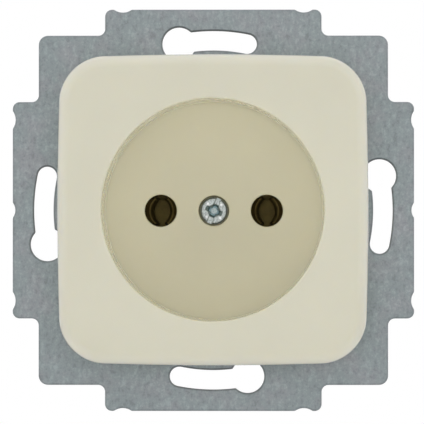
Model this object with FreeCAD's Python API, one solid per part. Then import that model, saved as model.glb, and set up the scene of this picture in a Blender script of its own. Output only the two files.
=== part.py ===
import FreeCAD, Part
import math
import os

# Two-pin recessed wall socket insert: moulded centre plate, steel support frame, base and two contacts.
# Millimetres. +X is right, +Z is up, +Y points into the wall.
# The origin is on the recess axis, in the wall plane.

V = FreeCAD.Vector

# support frame: one sheet of steel, its outer part flat on the wall and its middle drawn forward into a seat
FRAME_SHEET = 1.0
FRAME_ARM_WIDTH = 38.3
FRAME_ARM_REACH = 8.25
FRAME_BLOCK_REACH = 3.65
FRAME_BLOCK_RADIUS = 1.65
FRAME_ARM_RADIUS = 1.2
FRAME_STEP_RADIUS = 1.2
SEAT_LIFT = 1.5
SEAT_BEVEL = 0.45
NOTCH_SPACING = 32.0
NOTCH_RADIUS = 2.65
NOTCH_DEPTH = 0.5
MIDDLE_NOTCH_RADIUS = 2.2
MIDDLE_NOTCH_DEPTH = 0.45
KEYHOLE_OFFSET = 2.75
KEYHOLE_WIDTH = 3.45
KEYHOLE_HEAD_RADIUS = 2.95
KEYHOLE_HEAD_ANGLE = 11.65
KEYHOLE_END_ANGLE = 11.5

# centre plate: bowed square with a round recess
PLATE_SIDE_RADIUS = 600.0
PLATE_CORNER_RADIUS = 8.25
PLATE_HEIGHT = 10.0
PLATE_EDGE_RADIUS = 2.0
PLATE_WALL = 2.0
PLATE_INNER_BEVEL = 0.8
PLATE_FACE = 2.2
RECESS_RADIUS = 19.5
RECESS_DEPTH = 17.5
RECESS_RIM_RADIUS = 0.3
RECESS_FLOOR_BEVEL = 0.9
CUP_WALL = 1.8
CUP_FLOOR = 2.5
CUP_BEVEL = 1.0
RIB_WIDTH = 1.2
RIB_HEIGHT = 3.6
POST_RADIUS = 1.4

# pins and contacts
PIN_SPACING = 19.0
PIN_HOLE_RADIUS = 2.85
HOLE_BEVEL = 0.3
PIN_LENGTH = 19.0
STRIP = 0.5
LEAF_HALF_HEIGHT = 2.35
LEG_INNER_HALF = 2.2
WEB_BEND_RADIUS = 0.5
FUNNEL_HALF = 2.8
FUNNEL_DEPTH = 0.8
LIP_HALF = 1.9
WAIST_HALF = 1.45
LEAF_RADIUS = 2.8

# screws
PLATE_SCREW_RADIUS = 1.5
PLATE_SCREW_LENGTH = 8.3
PLATE_SCREW_HEAD_RADIUS = 2.4
PLATE_SCREW_HEAD_HEIGHT = 1.9
PLATE_SCREW_SINK = 1.3
PLATE_SCREW_TURN = 22.0
TERMINAL_SCREW_RADIUS = 1.75
TERMINAL_SCREW_LENGTH = 6.0
TERMINAL_HEAD_RADIUS = 3.0
TERMINAL_HEAD_HEIGHT = 2.0
COVER_SCREW_RADIUS = 1.4
COVER_SCREW_LENGTH = 5.0
COVER_HEAD_RADIUS = 2.6
COVER_HEAD_HEIGHT = 1.5
SLOT_WIDTH = 0.95
SLOT_DEPTH = 0.9
CROSS_WIDTH = 0.85
CROSS_SPAN = 3.0
CROSS_DEPTH = 1.2

# terminals
TERMINAL_X = 10.5
TERMINAL_Z = 12.5
PAD_WIDTH = 7.6
PAD_LENGTH = 7.2
COLLAR_RADIUS = 2.4
COLLAR_LENGTH = 1.4
CLAMP_THICKNESS = 1.0
CLAMP_INSET = 0.3
WIRE_ENTRY_WIDTH = 2.4

# insulating base
BASE_WALL = 1.8
BASE_STEP_Y = 14.0
BASE_FLAT_WIDTH = 37.0
BASE_REAR_MARGIN = 3.5
BASE_FLOOR = 2.0
BASE_BEVEL = 0.8
BASE_GAP = 0.55
LUG_THICKNESS = 3.0
LUG_RADIUS = 2.8
CHAMBER_HALF_WIDTH = 3.6
CHAMBER_HALF_HEIGHT = 3.3
BASE_PIN_HOLE_RADIUS = 3.1
BOSS_WALL = 1.9
BOSS_LIP = 1.4
NUT_RADIUS = 2.5
NUT_LENGTH = 7.0
NUT_GROOVE = 0.4
CORE_HALF_WIDTH = 3.4
CORE_INNER_Z = 9.3
CORE_OUTER_Z = 19.0
CORE_FLOOR_Y = 15.0

# rivets between frame and base
RIVET_GAP = 0.2
RIVET_RADIUS = 1.5
RIVET_HEAD_RADIUS = 2.6
RIVET_HEAD_HEIGHT = 0.8
RIVET_TAIL_RADIUS = 2.4
RIVET_TAIL_HEIGHT = 0.7

# rear cover over the contacts
COVER_HALF_WIDTH = 14.2
COVER_HALF_HEIGHT = 7.0
COVER_RADIUS = 2.0
COVER_THICKNESS = 2.4
COVER_BEVEL = 0.4
COVER_SCREW_SINK = 1.0

# clearances between mating pieces
SLIDE_FIT = 0.3
THREAD_FIT = 0.05
PLATE_LIFT = 0.2

# levels along Y, worked out from the sizes above
FRAME_FRONT = -FRAME_SHEET
SEAT_BACK = -SEAT_LIFT
SEAT_FRONT = SEAT_BACK - FRAME_SHEET
PLATE_FRONT = -PLATE_HEIGHT
PLATE_REAR = FRAME_FRONT - PLATE_LIFT
FACE_BACK = PLATE_FRONT + PLATE_FACE
FLOOR_FRONT = PLATE_FRONT + RECESS_DEPTH
FLOOR_BACK = FLOOR_FRONT + CUP_FLOOR
SCREW_SEAT = FLOOR_FRONT + PLATE_SCREW_SINK + PLATE_SCREW_HEAD_HEIGHT
BOSS_BACK = SCREW_SEAT + BOSS_LIP
WELL_FLOOR = FLOOR_BACK + SLIDE_FIT
BOSS_WELL = BOSS_BACK + SLIDE_FIT
CHAMBER_FRONT = WELL_FLOOR + BASE_FLOOR
LIP_Y = CHAMBER_FRONT + SLIDE_FIT
WEB_FRONT = FLOOR_FRONT + PIN_LENGTH + WEB_BEND_RADIUS
WEB_BACK = WEB_FRONT + STRIP
BASE_REAR = WEB_BACK + BASE_REAR_MARGIN
COVER_FRONT = WEB_BACK + SLIDE_FIT
COVER_BACK = COVER_FRONT + COVER_THICKNESS

# radii that follow each other outwards from the recess
CUP_RADIUS = RECESS_RADIUS + CUP_WALL
WELL_RADIUS = CUP_RADIUS + SLIDE_FIT
FRAME_OPENING = WELL_RADIUS + SLIDE_FIT
BASE_RADIUS = WELL_RADIUS + BASE_WALL
SCREW_WELL_RADIUS = PLATE_SCREW_HEAD_RADIUS + SLIDE_FIT
BOSS_RADIUS = SCREW_WELL_RADIUS + BOSS_WALL

# distances from the recess axis that follow from the base, outwards to the keyholes on a 60 mm circle
RIVET_OFFSET = BASE_RADIUS + RIVET_GAP + RIVET_TAIL_RADIUS
SEAT_HALF = BASE_RADIUS + BASE_GAP + FRAME_SHEET
PLATE_HALF = SEAT_HALF + SLIDE_FIT + PLATE_WALL
KEYHOLE_RADIUS = PLATE_HALF + KEYHOLE_OFFSET
FRAME_BLOCK_HALF = PLATE_HALF + FRAME_BLOCK_REACH
FRAME_HALF = PLATE_HALF + FRAME_ARM_REACH

PIN_X = PIN_SPACING / 2
DIAGONAL = math.sqrt(2)


def outline(corners, place):
    """Closed wire through corners (a, b, radius), each rounded by its radius; place turns (a, b) into a point."""
    bends = []
    for i, (a, b, radius) in enumerate(corners):
        corner = V(a, b, 0)
        back = (V(*corners[i - 1][:2], 0) - corner).normalize()
        ahead = (V(*corners[(i + 1) % len(corners)][:2], 0) - corner).normalize()
        half_angle = back.getAngle(ahead) / 2
        reach = radius / math.tan(half_angle)
        inward = (back + ahead).normalize() if radius else back
        middle = corner + inward * (radius / math.sin(half_angle) - radius)
        bends.append([place(p.x, p.y) for p in (corner + back * reach, middle, corner + ahead * reach)])
    edges = []
    for i, (start, middle, end) in enumerate(bends):
        if (end - start).Length > 1e-6:
            edges.append(Part.Arc(start, middle, end).toShape())
        following = bends[(i + 1) % len(bends)][0]
        if (following - end).Length > 1e-6:
            edges.append(Part.LineSegment(end, following).toShape())
    return Part.Wire(edges)


def prism(corners, front, back):
    """Plate of the outline given as (x, z, radius), between two levels of Y."""
    wire = outline(corners, lambda a, b: V(a, front, b))
    return Part.Face(wire).extrude(V(0, back - front, 0))


def turned(corners, x=0, z=0):
    """Solid turned about the Y direction through (x, z), from corners (distance from axis, y, radius)."""
    face = Part.Face(outline(corners, lambda a, b: V(a, b, 0)))
    solid = face.revolve(V(0, 0, 0), V(0, 1, 0), 360)
    solid.translate(V(x, 0, z))
    return solid


def disc(radius, front, back, x=0, z=0):
    return Part.makeCylinder(radius, back - front, V(x, front, z), V(0, 1, 0))


def rectangle(x_low, x_high, z_low, z_high, radius=0):
    return [(x_low, z_low, radius), (x_high, z_low, radius), (x_high, z_high, radius), (x_low, z_high, radius)]


def quarter_turns(solid):
    """Four copies of a solid about the recess axis."""
    copies = []
    for quarter in range(4):
        copy = solid.copy()
        copy.rotate(V(0, 0, 0), V(0, 1, 0), 90 * quarter)
        copies.append(copy)
    return copies


def mirrored_pair(solid):
    """A solid and its mirror image in the middle plane between the pins."""
    return [solid, solid.mirror(V(0, 0, 0), V(1, 0, 0))]


def edges_where(solid, wanted):
    return [edge for edge in solid.Edges if wanted(edge.BoundBox)]


def at_level(box, y):
    """Whether an edge's box lies wholly at one level of Y."""
    return abs(box.YMin - y) < 1e-4 and abs(box.YMax - y) < 1e-4


def rounded_at(solid, y, radius):
    """The solid with all its edges at one level of Y rounded."""
    return solid.makeFillet(radius, edges_where(solid, lambda box: at_level(box, y)))


def bevelled_at(solid, y, size):
    """The solid with all its edges at one level of Y bevelled."""
    return solid.makeChamfer(size, edges_where(solid, lambda box: at_level(box, y)))


def plate_outline(inset, y):
    """Square of four slightly bowed sides and round corners, set in by inset, each arc tangent to the next."""
    half = PLATE_HALF - inset
    side = PLATE_SIDE_RADIUS - inset
    corner = PLATE_CORNER_RADIUS - inset
    lead = side - half
    apart = side - corner
    centre = (math.sqrt(2 * apart ** 2 - lead ** 2) - lead) / 2
    along = side * centre / apart
    across = side * (centre + lead) / apart - lead
    diagonal = centre + corner / DIAGONAL
    edges = []
    for quarter in range(4):
        turn = FreeCAD.Rotation(V(0, 1, 0), 90 * quarter)
        spots = [V(-along, y, across), V(0, y, half), V(along, y, across),
                 V(diagonal, y, diagonal), V(across, y, along)]
        start, middle, end, bend, last = [turn.multVec(spot) for spot in spots]
        edges.append(Part.Arc(start, middle, end).toShape())
        edges.append(Part.Arc(end, bend, last).toShape())
    return Part.Wire(Part.__sortEdges__(edges))


def plate_prism(inset, front, back):
    return Part.Face(plate_outline(inset, front)).extrude(V(0, back - front, 0))


def plate_hollow():
    """Space behind the face of the plate, inside its skirt, bevelled where face and skirt meet."""
    return bevelled_at(plate_prism(PLATE_WALL, FACE_BACK, PLATE_REAR + 1), FACE_BACK, PLATE_INNER_BEVEL)


def recess_space():
    """The plug recess: a plain round wall with a small bevel at the floor."""
    return bevelled_at(disc(RECESS_RADIUS, PLATE_FRONT - 1, FLOOR_FRONT), FLOOR_FRONT, RECESS_FLOOR_BEVEL)


def centre_plate():
    shell = rounded_at(plate_prism(0, PLATE_FRONT, PLATE_REAR), PLATE_FRONT, PLATE_EDGE_RADIUS)
    shell = shell.cut(plate_hollow())
    cup = bevelled_at(disc(CUP_RADIUS, PLATE_FRONT + 1, FLOOR_BACK), FLOOR_BACK, CUP_BEVEL)
    boss = disc(BOSS_RADIUS, FLOOR_FRONT, BOSS_BACK)
    post_offset = (RIVET_OFFSET + RIVET_HEAD_RADIUS + SLIDE_FIT + POST_RADIUS) / DIAGONAL
    post = disc(POST_RADIUS, FACE_BACK - 0.5, SEAT_FRONT, post_offset, post_offset)
    corner = (PLATE_HALF - PLATE_CORNER_RADIUS) * DIAGONAL + PLATE_CORNER_RADIUS
    rib = Part.makeBox(corner - PLATE_WALL / 2 - CUP_RADIUS + 0.5, RIB_HEIGHT + 0.5, RIB_WIDTH,
                       V(CUP_RADIUS - 0.5, FACE_BACK - 0.5, -RIB_WIDTH / 2))
    rib.rotate(V(0, 0, 0), V(0, 1, 0), -45)
    plate = shell.multiFuse([cup, boss] + quarter_turns(post) + quarter_turns(rib))
    plate = plate.cut(recess_space())
    rims = edges_where(plate, lambda box: at_level(box, PLATE_FRONT) and box.XMax < RECESS_RADIUS + 1)
    plate = plate.makeFillet(RECESS_RIM_RADIUS, rims)
    plate = plate.cut(disc(SCREW_WELL_RADIUS, FLOOR_FRONT - 1, SCREW_SEAT))
    plate = plate.cut(disc(PLATE_SCREW_RADIUS + SLIDE_FIT, SCREW_SEAT - 1, BOSS_BACK + 1))
    for side in (-1, 1):
        plate = plate.cut(disc(PIN_HOLE_RADIUS, FLOOR_FRONT - 1, FLOOR_BACK + 1, side * PIN_X))
    holes = edges_where(plate, lambda box: at_level(box, FLOOR_FRONT) and box.XLength < 3 * PIN_HOLE_RADIUS)
    return plate.makeChamfer(HOLE_BEVEL, holes).removeSplitter()


def keyhole():
    """Arc slot about the recess axis with a larger round at one end, at the top of the frame."""
    front, back = SEAT_FRONT - 1, 1
    middle = KEYHOLE_RADIUS
    outer = Part.makeCylinder(middle + KEYHOLE_WIDTH / 2, back - front, V(0, front, 0), V(0, 1, 0),
                              KEYHOLE_HEAD_ANGLE + KEYHOLE_END_ANGLE)
    sector = outer.cut(disc(middle - KEYHOLE_WIDTH / 2, front, back))
    # the sector starts on +Z and turns towards +X, so it is turned back by the angle of the head
    sector.rotate(V(0, 0, 0), V(0, 1, 0), -KEYHOLE_HEAD_ANGLE)
    head_angle = math.radians(-KEYHOLE_HEAD_ANGLE)
    end_angle = math.radians(KEYHOLE_END_ANGLE)
    head = disc(KEYHOLE_HEAD_RADIUS, front, back, middle * math.sin(head_angle), middle * math.cos(head_angle))
    end = disc(KEYHOLE_WIDTH / 2, front, back, middle * math.sin(end_angle), middle * math.cos(end_angle))
    return sector.multiFuse([head, end])


def edge_notch(radius, depth, offset):
    """Shallow arc notch in the end of the top arm."""
    return disc(radius, SEAT_FRONT - 1, 1, offset, FRAME_HALF - depth + radius)


def support_frame():
    arm, block, reach = FRAME_ARM_WIDTH / 2, FRAME_BLOCK_HALF, FRAME_HALF
    corners = []
    for turn in range(4):
        quarter = [(arm, reach, FRAME_ARM_RADIUS), (arm, block, FRAME_STEP_RADIUS),
                   (block, block, FRAME_BLOCK_RADIUS),
                   (block, arm, FRAME_STEP_RADIUS), (reach, arm, FRAME_ARM_RADIUS)]
        for x, z, radius in quarter:
            for _ in range(turn):
                x, z = z, -x
            corners.append((x, z, radius))
    sheet = prism(corners, FRAME_FRONT, 0)
    seat = bevelled_at(plate_prism(PLATE_WALL + SLIDE_FIT, SEAT_FRONT, 0), SEAT_FRONT, 2 * SEAT_BEVEL)
    pocket = bevelled_at(plate_prism(PLATE_WALL + SLIDE_FIT + FRAME_SHEET, SEAT_BACK, 0), SEAT_BACK, SEAT_BEVEL)
    frame = sheet.fuse(seat).cut(pocket)
    frame = frame.cut(disc(FRAME_OPENING, SEAT_FRONT - 1, 1))
    rivet_holes = [disc(RIVET_RADIUS, SEAT_FRONT - 1, 1, x, z) for x, z in rivet_places()]
    frame = frame.cut(Part.makeCompound(rivet_holes))
    frame = frame.cut(Part.makeCompound(quarter_turns(keyhole())))
    for side in (-1, 1):
        notch = edge_notch(NOTCH_RADIUS, NOTCH_DEPTH, side * NOTCH_SPACING / 2)
        frame = frame.cut(Part.makeCompound(quarter_turns(notch)))
    middle_notches = quarter_turns(edge_notch(MIDDLE_NOTCH_RADIUS, MIDDLE_NOTCH_DEPTH, 0))
    frame = frame.cut(Part.makeCompound(middle_notches[1::2]))
    return frame.removeSplitter()


def rivet_places():
    offset = RIVET_OFFSET / DIAGONAL
    return [(offset, offset), (offset, -offset), (-offset, -offset), (-offset, offset)]


def frame_rivet(x, z):
    """Domed head on the seat, shank through seat and lug, and a flatter set tail behind the lug."""
    lug_back = SEAT_BACK + LUG_THICKNESS
    shank = RIVET_RADIUS - THREAD_FIT
    return turned([
        (0, SEAT_FRONT - RIVET_HEAD_HEIGHT, 0),
        (RIVET_HEAD_RADIUS * 0.6, SEAT_FRONT - RIVET_HEAD_HEIGHT, 0),
        (RIVET_HEAD_RADIUS, SEAT_FRONT, 0),
        (shank, SEAT_FRONT, 0),
        (shank, lug_back, 0),
        (RIVET_TAIL_RADIUS, lug_back, 0),
        (RIVET_TAIL_RADIUS - RIVET_TAIL_HEIGHT, lug_back + RIVET_TAIL_HEIGHT, 0),
        (0, lug_back + RIVET_TAIL_HEIGHT, 0),
    ], x, z)


def base_lug():
    """Rounded ear on the base rim behind the frame, with its rivet hole."""
    centre = RIVET_OFFSET
    back = SEAT_BACK + LUG_THICKNESS
    web = prism(rectangle(BASE_RADIUS - 1.5 * BASE_WALL, centre, -LUG_RADIUS, LUG_RADIUS), SEAT_BACK, back)
    lug = web.fuse(disc(LUG_RADIUS, SEAT_BACK, back, centre))
    lug = lug.cut(disc(RIVET_RADIUS, SEAT_BACK - 1, back + 1, centre))
    lug.rotate(V(0, 0, 0), V(0, 1, 0), -45)
    return lug


def terminal_pocket():
    """Pocket for one wire terminal, open to the rear, with a wire entry on each side of its screw."""
    half_x = PAD_WIDTH / 2 + SLIDE_FIT
    half_z = PAD_LENGTH / 2 + SLIDE_FIT
    pocket = prism(rectangle(TERMINAL_X - half_x, TERMINAL_X + half_x,
                             TERMINAL_Z - half_z, TERMINAL_Z + half_z), WEB_FRONT, BASE_REAR + 1)
    cuts = [disc(COLLAR_RADIUS + SLIDE_FIT, WEB_FRONT - TERMINAL_SCREW_LENGTH, WEB_FRONT + 1,
                 TERMINAL_X, TERMINAL_Z)]
    for side in (-1, 1):
        middle = TERMINAL_X + side * (half_x - WIRE_ENTRY_WIDTH / 2)
        cuts.append(prism(rectangle(middle - WIRE_ENTRY_WIDTH / 2, middle + WIRE_ENTRY_WIDTH / 2,
                                    TERMINAL_Z, BASE_RADIUS + 1), WEB_BACK, BASE_REAR + 1))
    return pocket.multiFuse(cuts)


def contact_room():
    """Room for one contact: chamber for the leaves, channel for the strip and two terminal pockets."""
    chamber = prism(rectangle(PIN_X - CHAMBER_HALF_WIDTH, PIN_X + CHAMBER_HALF_WIDTH,
                              -CHAMBER_HALF_HEIGHT, CHAMBER_HALF_HEIGHT), CHAMBER_FRONT, BASE_REAR + 1)
    half_strip = LEAF_HALF_HEIGHT + SLIDE_FIT
    channel = prism(rectangle(PIN_X - half_strip, PIN_X + half_strip, -TERMINAL_Z, TERMINAL_Z),
                    WEB_FRONT, BASE_REAR + 1)
    top = terminal_pocket()
    bottom = top.mirror(V(0, 0, 0), V(0, 0, 1))
    pin_hole = disc(BASE_PIN_HOLE_RADIUS, WELL_FLOOR - 1, CHAMBER_FRONT + 1, PIN_X)
    return chamber.multiFuse([channel, top, bottom, pin_hole])


def socket_base():
    bowl = bevelled_at(disc(BASE_RADIUS, SEAT_BACK, BASE_STEP_Y), BASE_STEP_Y, BASE_BEVEL)
    flat = BASE_FLAT_WIDTH / 2
    slab = prism(rectangle(-flat, flat, -BASE_RADIUS, BASE_RADIUS), BASE_STEP_Y - BASE_BEVEL * 2, BASE_REAR)
    body = bevelled_at(slab.common(disc(BASE_RADIUS, SEAT_BACK, BASE_REAR)), BASE_REAR, BASE_BEVEL)
    base = bowl.multiFuse([body] + quarter_turns(base_lug()))
    base = base.cut(disc(WELL_RADIUS, SEAT_BACK - 1, WELL_FLOOR))
    base = base.cut(disc(BOSS_RADIUS + SLIDE_FIT, WELL_FLOOR - 1, BOSS_WELL))
    base = base.cut(nut_body())
    base = base.cut(Part.makeCompound(mirrored_pair(contact_room())))
    rebate_x = COVER_HALF_WIDTH + SLIDE_FIT
    rebate_z = COVER_HALF_HEIGHT + SLIDE_FIT
    base = base.cut(prism(rectangle(-rebate_x, rebate_x, -rebate_z, rebate_z, COVER_RADIUS),
                          COVER_FRONT, BASE_REAR + 1))
    core = prism(rectangle(-CORE_HALF_WIDTH, CORE_HALF_WIDTH, CORE_INNER_Z, CORE_OUTER_Z, 1.2),
                 CORE_FLOOR_Y, BASE_REAR + 1)
    base = base.cut(Part.makeCompound([core, core.mirror(V(0, 0, 0), V(0, 0, 1))]))
    screw_tip = COVER_BACK - COVER_SCREW_SINK - COVER_SCREW_LENGTH
    base = base.cut(disc(COVER_SCREW_RADIUS + THREAD_FIT, screw_tip - SLIDE_FIT, COVER_FRONT + 1))
    return base.removeSplitter()


def leaf_section(y, middle, radius):
    """Cross section of a contact leaf at one depth: a band bent to an arc, or flat where radius is None."""
    if radius is None:
        return outline([(middle, -LEAF_HALF_HEIGHT, 0), (middle + STRIP, -LEAF_HALF_HEIGHT, 0),
                        (middle + STRIP, LEAF_HALF_HEIGHT, 0), (middle, LEAF_HALF_HEIGHT, 0)],
                       lambda a, b: V(a, y, b))
    angle = math.asin(LEAF_HALF_HEIGHT / radius)
    centre = middle - radius

    def spot(distance, turn):
        return V(centre + distance * math.cos(turn), y, distance * math.sin(turn))

    outer = radius + STRIP
    return Part.Wire([
        Part.LineSegment(spot(radius, -angle), spot(outer, -angle)).toShape(),
        Part.Arc(spot(outer, -angle), spot(outer, 0), spot(outer, angle)).toShape(),
        Part.LineSegment(spot(outer, angle), spot(radius, angle)).toShape(),
        Part.Arc(spot(radius, angle), spot(radius, 0), spot(radius, -angle)).toShape(),
    ])


def contact_leaf():
    """Curved spring leaf: funnel lip, narrow waist that grips the pin, then easing to the flat leg."""
    knee = LIP_Y + FUNNEL_DEPTH
    length = WEB_FRONT - WEB_BEND_RADIUS - knee
    funnel = [leaf_section(LIP_Y, FUNNEL_HALF, LEAF_RADIUS + FUNNEL_HALF - LIP_HALF),
              leaf_section(knee, LIP_HALF, LEAF_RADIUS)]
    stations = [
        (0.00, LIP_HALF, LEAF_RADIUS),
        (0.12, (LIP_HALF + WAIST_HALF) / 2, LEAF_RADIUS),
        (0.27, WAIST_HALF, LEAF_RADIUS),
        (0.55, WAIST_HALF, LEAF_RADIUS),
        (0.80, (WAIST_HALF + LEG_INNER_HALF) / 2, 3 * LEAF_RADIUS),
        (1.00, LEG_INNER_HALF, None),
    ]
    sections = [leaf_section(knee + share * length, middle, radius) for share, middle, radius in stations]
    return Part.makeLoft(funnel, True, True).fuse(Part.makeLoft(sections, True, False))


def contact():
    """One bent and formed strip: two leaves, the web behind them and a terminal pad above and below."""
    leaf = contact_leaf()
    leaves = mirrored_pair(leaf)
    outer = LEG_INNER_HALF + STRIP
    leg_end = WEB_FRONT - WEB_BEND_RADIUS
    bend = WEB_BEND_RADIUS
    channel = outline([
        (-outer, leg_end, 0), (-outer, WEB_BACK, bend + STRIP),
        (outer, WEB_BACK, bend + STRIP), (outer, leg_end, 0),
        (LEG_INNER_HALF, leg_end, 0), (LEG_INNER_HALF, WEB_FRONT, bend),
        (-LEG_INNER_HALF, WEB_FRONT, bend), (-LEG_INNER_HALF, leg_end, 0),
    ], lambda a, b: V(a, b, -LEAF_HALF_HEIGHT))
    web = Part.Face(channel).extrude(V(0, 0, 2 * LEAF_HALF_HEIGHT))
    bar = prism(rectangle(-LEG_INNER_HALF + bend, LEG_INNER_HALF - bend, -TERMINAL_Z, TERMINAL_Z),
                WEB_FRONT, WEB_BACK)
    pieces = leaves + [web, bar]
    offset = TERMINAL_X - PIN_X
    for side in (-1, 1):
        z = side * TERMINAL_Z
        pieces.append(prism(rectangle(offset - PAD_WIDTH / 2, offset + PAD_WIDTH / 2,
                                      z - PAD_LENGTH / 2, z + PAD_LENGTH / 2, 0.8), WEB_FRONT, WEB_BACK))
        pieces.append(disc(COLLAR_RADIUS, WEB_FRONT - COLLAR_LENGTH, WEB_BACK, offset, z))
    clip = pieces[0].multiFuse(pieces[1:])
    for side in (-1, 1):
        clip = clip.cut(disc(TERMINAL_SCREW_RADIUS + THREAD_FIT, WEB_FRONT - COLLAR_LENGTH - 1, WEB_BACK + 1,
                             offset, side * TERMINAL_Z))
    clip.translate(V(PIN_X, 0, 0))
    return clip.removeSplitter()


def drive_recess(head_radius):
    """Cutter for a combined slot and cross drive, from the plane y = 0 downwards along +Y."""
    slot = Part.makeBox(2 * head_radius + 1, SLOT_DEPTH + 1, SLOT_WIDTH,
                        V(-head_radius - 0.5, -1, -SLOT_WIDTH / 2))
    wing = Part.makeBox(CROSS_SPAN, CROSS_DEPTH + 1, CROSS_WIDTH, V(-CROSS_SPAN / 2, -1, -CROSS_WIDTH / 2))
    cross_wing = wing.copy()
    cross_wing.rotate(V(0, 0, 0), V(0, 1, 0), 90)
    return slot.multiFuse([wing, cross_wing])


def screw(radius, length, head_radius, head_height):
    """Pan head screw with its seat at y = 0, its head towards -Y and its shank towards +Y."""
    bevel = head_height / 4
    body = turned([
        (0, -head_height, 0),
        (head_radius - bevel, -head_height, 0),
        (head_radius, -head_height + bevel, 0),
        (head_radius, 0, 0),
        (radius, 0, 0),
        (radius, length - radius / 2, 0),
        (radius / 2, length, 0),
        (0, length, 0),
    ])
    cutter = drive_recess(head_radius)
    cutter.translate(V(0, -head_height, 0))
    return body.cut(cutter)


def plate_screw():
    solid = screw(PLATE_SCREW_RADIUS, PLATE_SCREW_LENGTH, PLATE_SCREW_HEAD_RADIUS, PLATE_SCREW_HEAD_HEIGHT)
    solid.rotate(V(0, 0, 0), V(0, 1, 0), PLATE_SCREW_TURN + 90)
    solid.translate(V(0, SCREW_SEAT, 0))
    return solid


def nut_body():
    """Outer form of the brass insert: a short rod with a groove round its middle that the moulding grips."""
    front, back = BOSS_WELL, BOSS_WELL + NUT_LENGTH
    third = NUT_LENGTH / 3
    groove = NUT_RADIUS - NUT_GROOVE
    return turned([
        (0, front, 0), (NUT_RADIUS, front, 0), (NUT_RADIUS, front + third, 0), (groove, front + third, 0),
        (groove, back - third, 0), (NUT_RADIUS, back - third, 0), (NUT_RADIUS, back, 0), (0, back, 0),
    ])


def plate_nut():
    return nut_body().cut(disc(PLATE_SCREW_RADIUS + THREAD_FIT, BOSS_WELL - 1, BOSS_WELL + NUT_LENGTH + 1))


def facing_rear(solid, seat_y, x=0, z=0):
    """Turns a screw so that its head points out of the back, then seats it."""
    solid.rotate(V(0, 0, 0), V(0, 0, 1), 180)
    solid.translate(V(x, seat_y, z))
    return solid


def terminal_screw(x, z):
    solid = screw(TERMINAL_SCREW_RADIUS, TERMINAL_SCREW_LENGTH, TERMINAL_HEAD_RADIUS, TERMINAL_HEAD_HEIGHT)
    return facing_rear(solid, WEB_BACK + CLAMP_THICKNESS, x, z)


def terminal_clamp(x, z):
    half_x = PAD_WIDTH / 2 - CLAMP_INSET
    half_z = PAD_LENGTH / 2 - CLAMP_INSET
    back = WEB_BACK + CLAMP_THICKNESS
    plate = prism(rectangle(x - half_x, x + half_x, z - half_z, z + half_z, 0.8), WEB_BACK, back)
    return plate.cut(disc(TERMINAL_SCREW_RADIUS + SLIDE_FIT, WEB_BACK - 1, back + 1, x, z))


def rear_cover():
    outer = rectangle(-COVER_HALF_WIDTH, COVER_HALF_WIDTH, -COVER_HALF_HEIGHT, COVER_HALF_HEIGHT, COVER_RADIUS)
    cover = bevelled_at(prism(outer, COVER_FRONT, COVER_BACK), COVER_BACK, COVER_BEVEL)
    seat = COVER_BACK - COVER_SCREW_SINK
    cover = cover.cut(disc(COVER_HEAD_RADIUS + SLIDE_FIT, seat, COVER_BACK + 1))
    return cover.cut(disc(COVER_SCREW_RADIUS + SLIDE_FIT, COVER_FRONT - 1, seat + 1))


def rear_cover_screw():
    solid = screw(COVER_SCREW_RADIUS, COVER_SCREW_LENGTH, COVER_HEAD_RADIUS, COVER_HEAD_HEIGHT)
    return facing_rear(solid, COVER_BACK - COVER_SCREW_SINK)


def terminal_places():
    return [(-TERMINAL_X, TERMINAL_Z), (TERMINAL_X, TERMINAL_Z),
            (TERMINAL_X, -TERMINAL_Z), (-TERMINAL_X, -TERMINAL_Z)]


def nodes():
    """Every sub-part by its name."""
    contact_right = contact()
    parts = {
        "centre_plate": centre_plate(),
        "plate_screw": plate_screw(),
        "plate_nut": plate_nut(),
        "support_frame": support_frame(),
        "socket_base": socket_base(),
        "contact_left": mirrored_pair(contact_right)[1],
        "contact_right": contact_right,
        "rear_cover": rear_cover(),
        "rear_cover_screw": rear_cover_screw(),
    }
    for number, (x, z) in enumerate(rivet_places(), 1):
        parts[f"frame_rivet_{number}"] = frame_rivet(x, z)
    for number, (x, z) in enumerate(terminal_places(), 1):
        parts[f"terminal_screw_{number}"] = terminal_screw(x, z)
        parts[f"terminal_clamp_{number}"] = terminal_clamp(x, z)
    return parts


def main():
    os.makedirs("parts", exist_ok=True)
    for name, shape in nodes().items():
        shape.exportStep(f"parts/{name}.step")


main()
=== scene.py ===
import math

import bmesh
import bpy
import numpy as np
from bpy.props import FloatProperty, FloatVectorProperty, PointerProperty
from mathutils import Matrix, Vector
from mathutils.geometry import tessellate_polygon


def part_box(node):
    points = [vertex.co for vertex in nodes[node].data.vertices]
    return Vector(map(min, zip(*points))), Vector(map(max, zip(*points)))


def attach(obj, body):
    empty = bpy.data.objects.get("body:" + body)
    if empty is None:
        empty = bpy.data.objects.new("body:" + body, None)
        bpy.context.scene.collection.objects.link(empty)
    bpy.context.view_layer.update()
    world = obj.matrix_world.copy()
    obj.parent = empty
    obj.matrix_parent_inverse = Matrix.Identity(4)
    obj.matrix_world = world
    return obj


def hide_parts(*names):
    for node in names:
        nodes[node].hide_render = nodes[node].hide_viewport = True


bl_info = {
    "name": "Recessed Wall Socket Insert",
    "version": (1, 0, 0),
    "blender": (4, 5, 0),
    "location": "View3D > Sidebar > Socket",
    "description": "Dresses a two-pin recessed wall socket insert: plate, frame, screws, contacts and base",
    "category": "Object",
}

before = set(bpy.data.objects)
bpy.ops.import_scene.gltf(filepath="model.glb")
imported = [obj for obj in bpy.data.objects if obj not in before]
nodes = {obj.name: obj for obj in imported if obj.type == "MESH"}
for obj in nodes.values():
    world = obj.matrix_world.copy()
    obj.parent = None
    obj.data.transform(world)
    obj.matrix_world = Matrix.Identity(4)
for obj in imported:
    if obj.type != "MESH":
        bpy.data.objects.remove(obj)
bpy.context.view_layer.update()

# Shapes are worked out in millimetres, with Y into the wall, and made into metres in Skin.make.
MM = 0.001
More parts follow.
